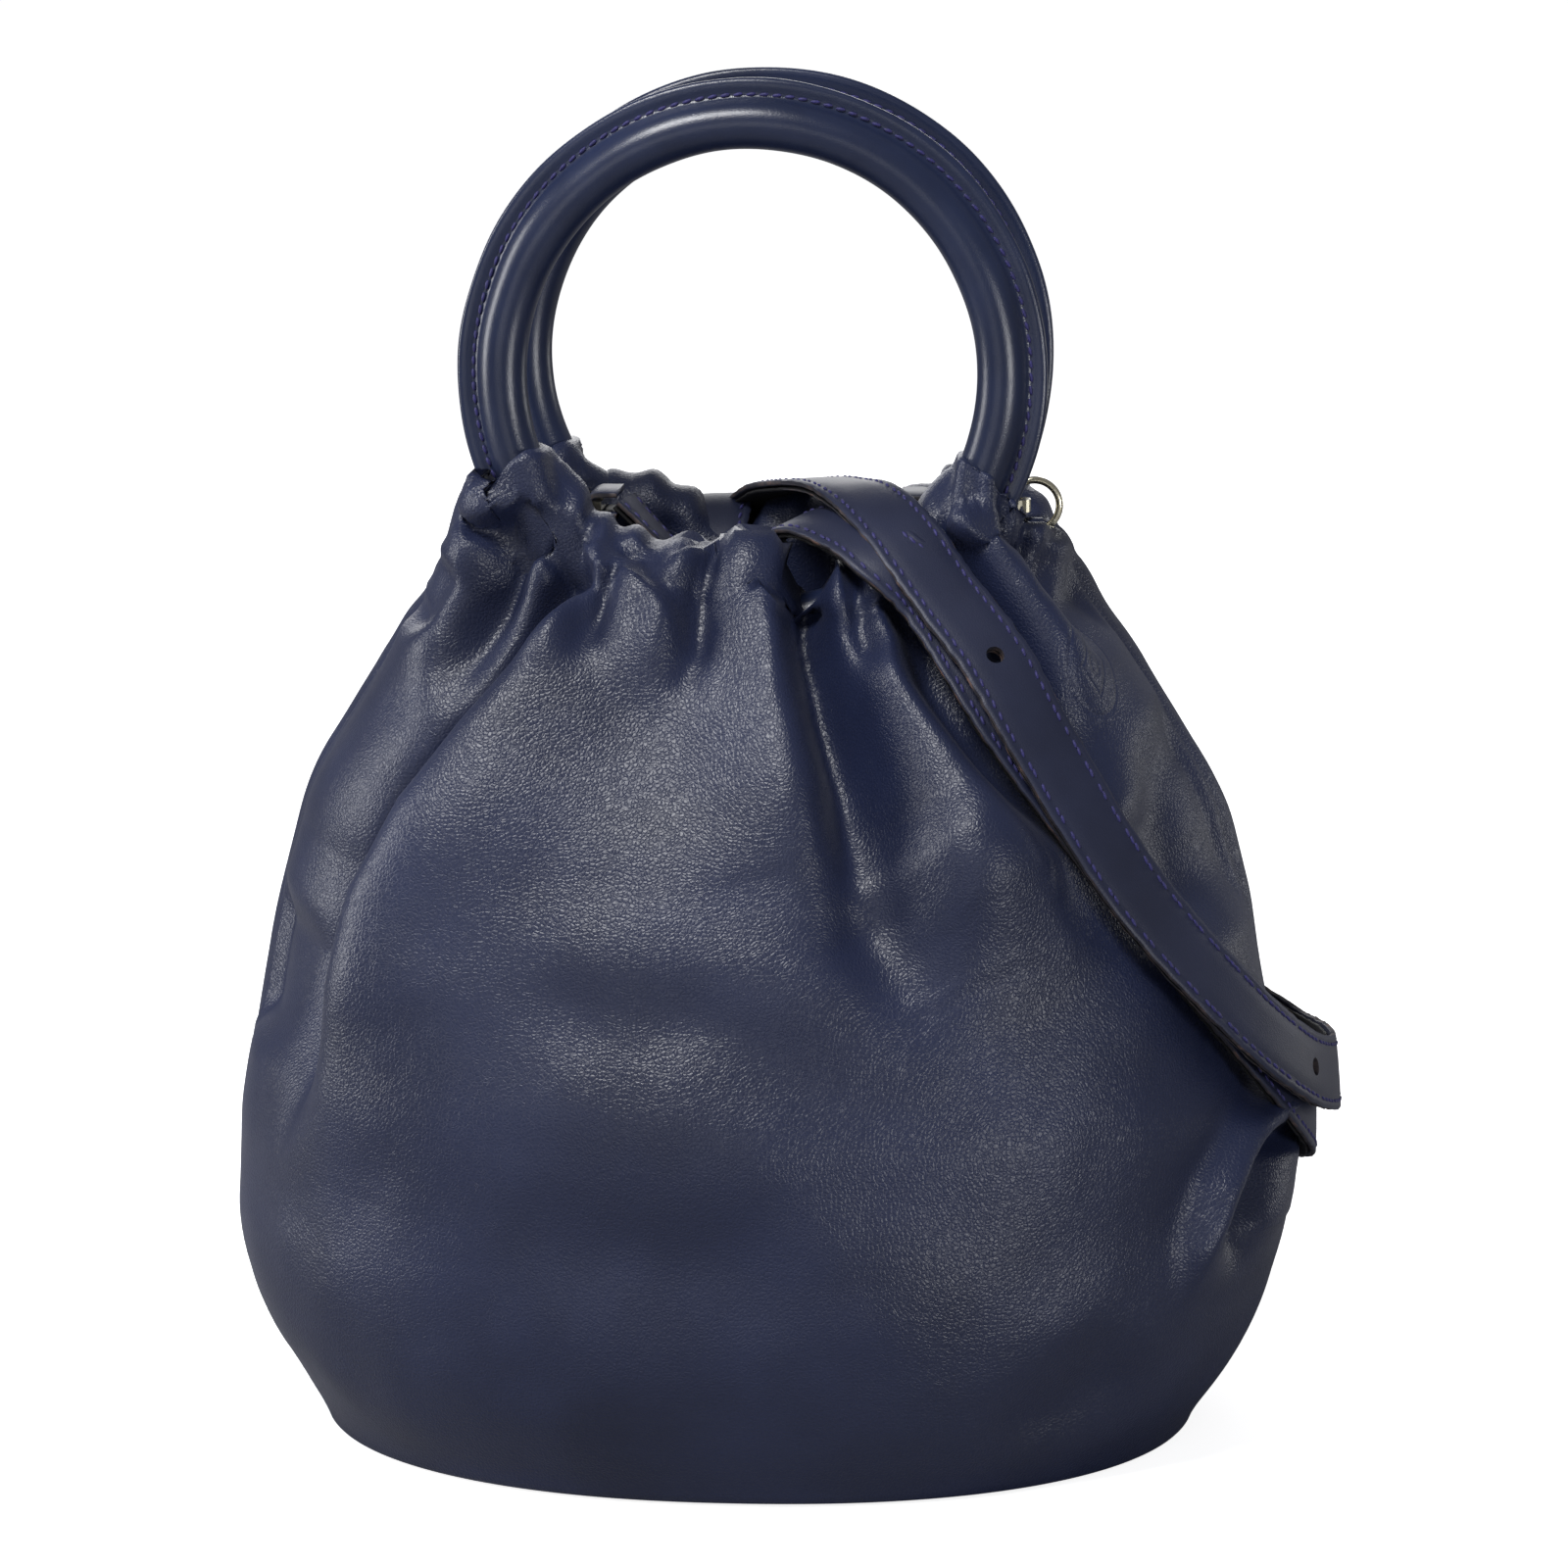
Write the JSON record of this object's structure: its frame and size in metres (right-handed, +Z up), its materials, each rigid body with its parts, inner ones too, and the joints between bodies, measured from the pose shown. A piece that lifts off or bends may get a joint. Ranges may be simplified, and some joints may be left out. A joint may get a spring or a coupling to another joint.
{
  "type": "bucket bag",
  "caption": "Slouchy leather bucket bag with two stitched ring handles held in gathered casings and a shoulder strap wound over its front and side.",
  "frame": {"origin": "centre of the flat base, where the bag rests", "axes": "+Z up, +X to the bag's right seen from its front, front towards -Y"},
  "size_m": [0.2852, 0.226, 0.346],
  "materials": {
    "body_leather": "soft semi-gloss fine-grained navy nappa",
    "handle_leather": "semi-gloss navy nappa",
    "base_leather": "satin dark navy",
    "strap_leather": "satin navy, violet-blue edge stitching",
    "strap_backing": "matt black",
    "lining": "matt twill",
    "base_board": "stiff fibre board",
    "ring_core": "bent cane or plastic core",
    "pale_gold": "polished pale gold plate"
  },
  "bodies": {
    "bag": {"front_panel": "body_leather", "back_panel": "body_leather", "base_panel": "base_leather", "base_board": "base_board", "lining_front": "lining", "lining_back": "lining", "lining_base": "lining", "left_ring_tab": "handle_leather", "right_ring_tab": "handle_leather", "left_strap_loop": "pale_gold", "right_strap_loop": "pale_gold", "left_strap_fold": "strap_leather", "right_strap_fold": "strap_leather", "strap": "strap_leather", "strap_backing": "strap_backing"},
    "front_handle": {"front_ring_cover": "handle_leather", "front_ring_core": "ring_core", "front_casing": "body_leather"},
    "back_handle": {"back_ring_cover": "handle_leather", "back_ring_core": "ring_core", "back_casing": "body_leather"},
    "left_ring": {"left_side_ring": "pale_gold"},
    "right_ring": {"right_side_ring": "pale_gold"},
    "left_snap": {"left_hook": "pale_gold"},
    "right_snap": {"right_hook": "pale_gold"},
    "left_gate": {"left_hook_gate": "pale_gold"},
    "right_gate": {"right_hook_gate": "pale_gold"}
  },
  "joints": [
    {"name": "front_handle_swing", "type": "hinge", "parent": "bag", "child": "front_handle", "pos_m": [0, -0.068, 0.193], "axis": [1, 0, 0], "range_deg": [-1, 40], "deforming": ["strap", "strap_backing"]},
    {"name": "back_handle_swing", "type": "hinge", "parent": "bag", "child": "back_handle", "pos_m": [0, 0.068, 0.193], "axis": [-1, 0, 0], "range_deg": [-1, 40], "deforming": ["strap", "strap_backing"]},
    {"name": "left_side_ring_swing", "type": "hinge", "parent": "bag", "child": "left_ring", "pos_m": [-0.07, 0, 0.2301], "axis": [1, 0, 0], "range_deg": [-12, 12]},
    {"name": "left_hook_swivel", "type": "hinge", "parent": "bag", "child": "left_snap", "pos_m": [-0.05, 0, 0.2365], "axis": [1, 0, 0], "range_deg": [-20, 20]},
    {"name": "left_gate_press", "type": "hinge", "parent": "left_snap", "child": "left_gate", "pos_m": [-0.06255, -0.00422, 0.2365], "axis": [0, 0, -1], "range_deg": [0, 14], "stiffness_Nm_per_rad": 0.002, "springref_deg": -11.46},
    {"name": "right_side_ring_swing", "type": "hinge", "parent": "bag", "child": "right_ring", "pos_m": [0.07, 0, 0.2301], "axis": [1, 0, 0], "range_deg": [-12, 12]},
    {"name": "right_hook_swivel", "type": "hinge", "parent": "bag", "child": "right_snap", "pos_m": [0.05, 0, 0.2365], "axis": [1, 0, 0], "range_deg": [-20, 20]},
    {"name": "right_gate_press", "type": "hinge", "parent": "right_snap", "child": "right_gate", "pos_m": [0.06255, 0.00422, 0.2365], "axis": [0, 0, -1], "range_deg": [0, 14], "stiffness_Nm_per_rad": 0.002, "springref_deg": -11.46}
  ]
}
